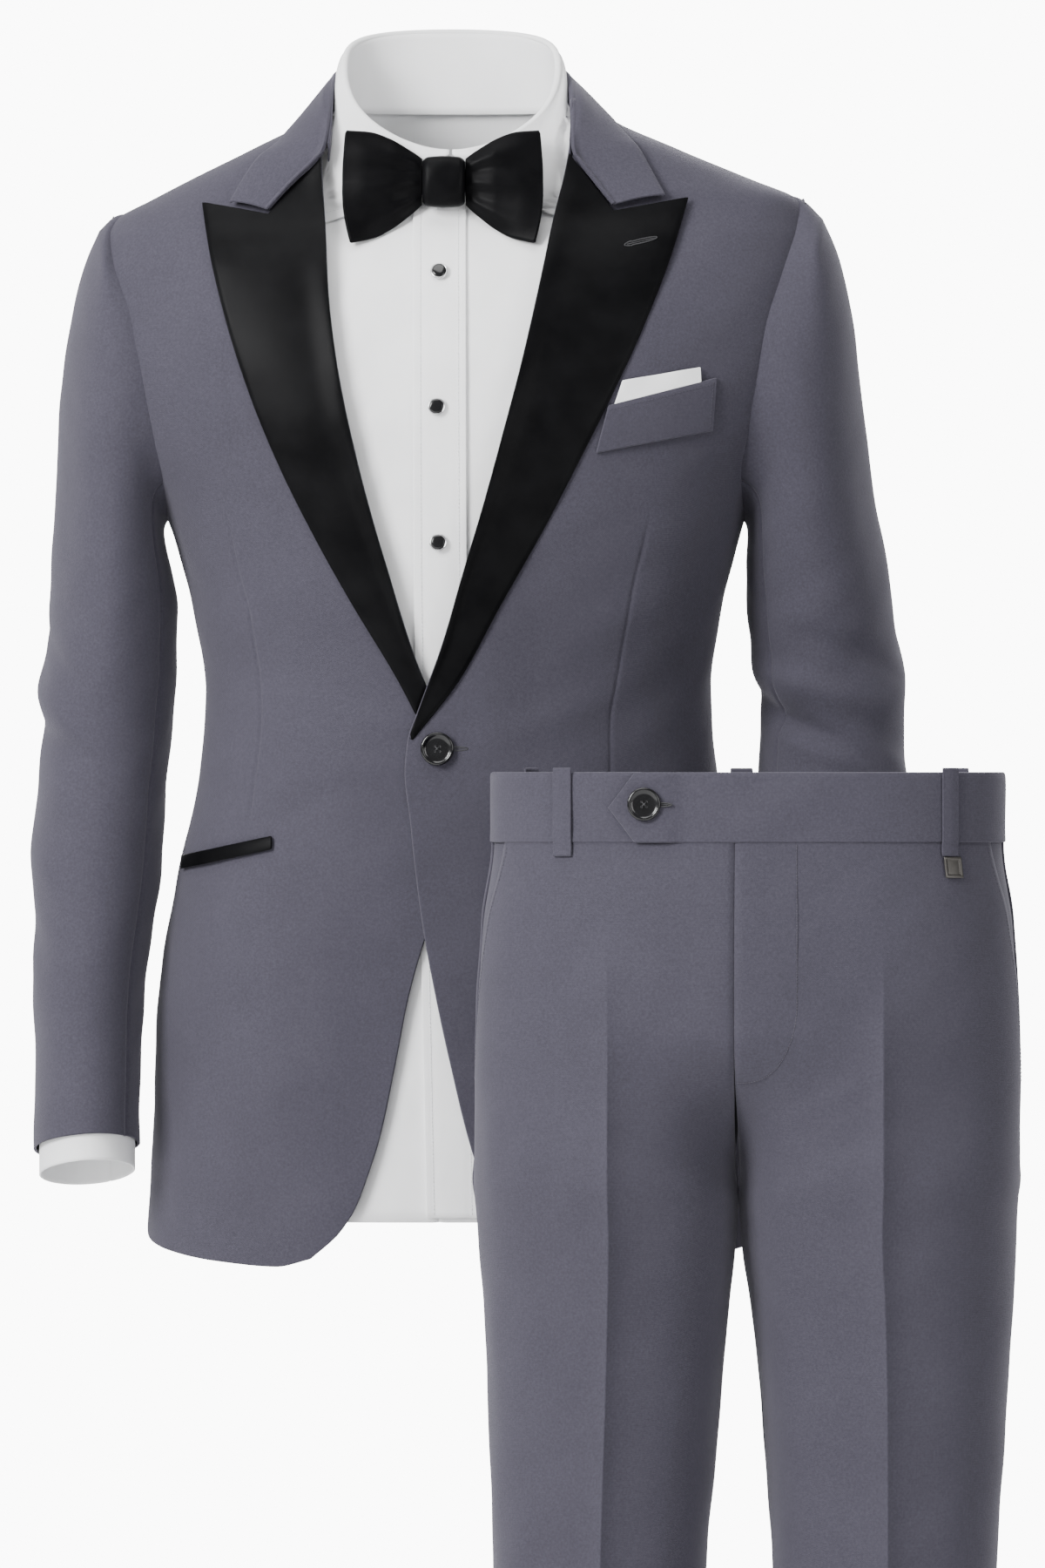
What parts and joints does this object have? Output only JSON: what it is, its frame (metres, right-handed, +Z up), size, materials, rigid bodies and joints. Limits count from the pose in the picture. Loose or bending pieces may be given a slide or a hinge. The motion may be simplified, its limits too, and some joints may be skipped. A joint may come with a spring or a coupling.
{
  "type": "tuxedo",
  "caption": "Dinner jacket with satin peaked lapels over a dress shirt and bow tie, with matching flat-front trousers, in worn form and hollow.",
  "frame": {"origin": "middle of the neck, level with the shoulder seams, where the wearer carries the jacket", "axes": "+Z up, -Y the front of the jacket and trousers, +X the wearer's left"},
  "size_m": [0.6472, 0.4495, 1.5698],
  "materials": {
    "wool": "fine brushed wool, matt",
    "satin": "silk satin, soft gloss",
    "shirt": "fine plain cotton, matt",
    "button": "polished black",
    "metal": "dull gunmetal"
  },
  "bodies": {
    "root": {"belt_loop_1": "wool", "belt_loop_2": "wool", "belt_loop_3": "wool", "belt_loop_4": "wool", "belt_loop_5": "wool", "bow_knot": "satin", "bow_wing_left": "satin", "bow_wing_right": "satin", "breast_welt": "wool", "hip_jet_left": "satin", "hip_jet_right": "satin", "jacket_back_left": "wool", "jacket_back_right": "wool", "jacket_button": "button", "jacket_collar_fall": "wool", "jacket_collar_stand": "wool", "jacket_front_left": "wool", "jacket_front_right": "wool", "lapel_left": "satin", "lapel_right": "satin", "loop_end": "metal", "pocket_facing_left": "wool", "pocket_facing_right": "wool", "pocket_square": "shirt", "shirt_back": "shirt", "shirt_collar_fall": "shirt", "shirt_collar_stand": "shirt", "shirt_cuff_left": "shirt", "shirt_cuff_right": "shirt", "shirt_front_left": "shirt", "shirt_front_right": "shirt", "shirt_placket": "shirt", "sleeve_left_top": "wool", "sleeve_left_under": "wool", "sleeve_right_top": "wool", "sleeve_right_under": "wool", "stud_1": "button", "stud_2": "button", "stud_3": "button", "trouser_back_left": "wool", "trouser_back_right": "wool", "trouser_button": "button", "trouser_front_left": "wool", "trouser_front_right": "wool", "waistband_left": "wool", "waistband_right": "wool"}
  },
  "joints": []
}
